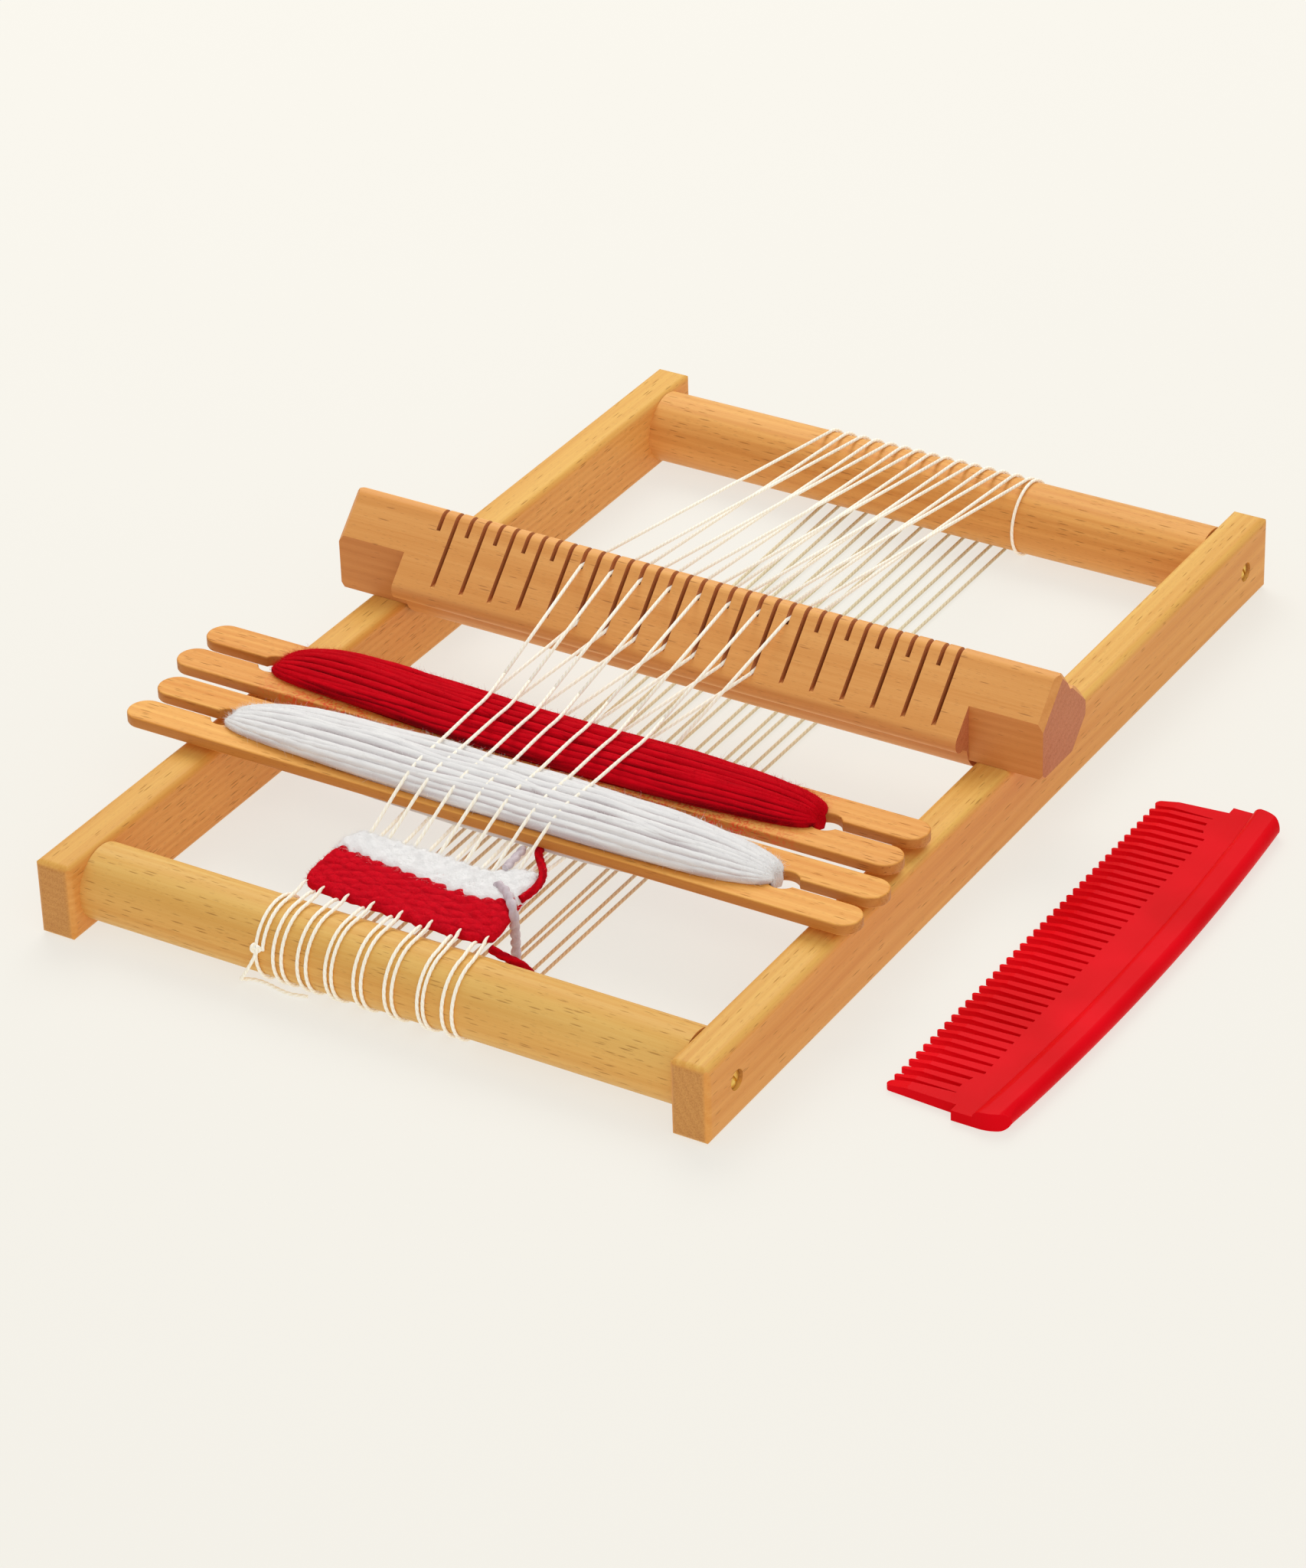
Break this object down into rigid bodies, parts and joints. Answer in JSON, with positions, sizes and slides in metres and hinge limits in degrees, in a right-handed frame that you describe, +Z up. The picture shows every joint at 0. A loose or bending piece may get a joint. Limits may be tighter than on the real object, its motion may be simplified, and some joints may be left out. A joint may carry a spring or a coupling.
{
  "type": "weaving frame",
  "caption": "Wooden table weaving frame with two round beams, a turning slotted heddle bar, a started warp and cloth, two wound stick shuttles and a comb beater.",
  "frame": {"origin": "on the table, under the middle of the whole set: the frame, the shuttles and the comb beside it", "axes": "+X to the right along the beams, +Y away from the weaver along the side rails, +Z up"},
  "size_m": [0.3654, 0.4, 0.0618],
  "materials": {
    "beech": "satin",
    "stick_beech": "satin",
    "brass": "satin",
    "cotton": "matte",
    "red_yarn": "matte",
    "white_yarn": "matte",
    "red_plastic": "gloss"
  },
  "bodies": {
    "frame": {"left_rail": "beech", "right_rail": "beech", "front_beam": "beech", "back_beam": "beech", "front_left_screw": "brass", "front_right_screw": "brass", "back_left_screw": "brass", "back_right_screw": "brass", "warp": "cotton", "front_warp_tie": "cotton", "back_warp_tie": "cotton", "warp_tail": "cotton", "red_cloth": "red_yarn", "white_cloth": "white_yarn", "red_start_tail": "red_yarn", "white_weft_tail": "white_yarn", "red_weft_yarn": "red_yarn", "white_weft_yarn": "white_yarn"},
    "heddle": {"heddle_bar": "beech"},
    "red_stick": {"red_shuttle": "stick_beech", "red_yarn_core": "red_yarn", "red_yarn": "red_yarn"},
    "white_stick": {"white_shuttle": "stick_beech", "white_yarn_core": "white_yarn", "white_yarn": "white_yarn"},
    "beater": {"comb": "red_plastic"}
  },
  "joints": [
    {"name": "heddle_turn", "type": "hinge", "parent": "frame", "child": "heddle", "pos_m": [-0.02673, 0.0001, 0.0286], "axis": [1, 0, 0], "range_deg": [0, 90], "deforming": ["warp"]},
    {"name": "red_shuttle_pass", "type": "slide", "parent": "frame", "child": "red_stick", "axis": [1, 0.0035, 0], "range_m": [-0.18, 0.2]},
    {"name": "white_shuttle_pass", "type": "slide", "parent": "frame", "child": "white_stick", "axis": [1, 0.0035, 0], "range_m": [-0.18, 0.2]},
    {"name": "comb_lift", "type": "slide", "parent": "frame", "child": "beater", "axis": [0, 0, 1], "range_m": [0, 0.1]}
  ]
}
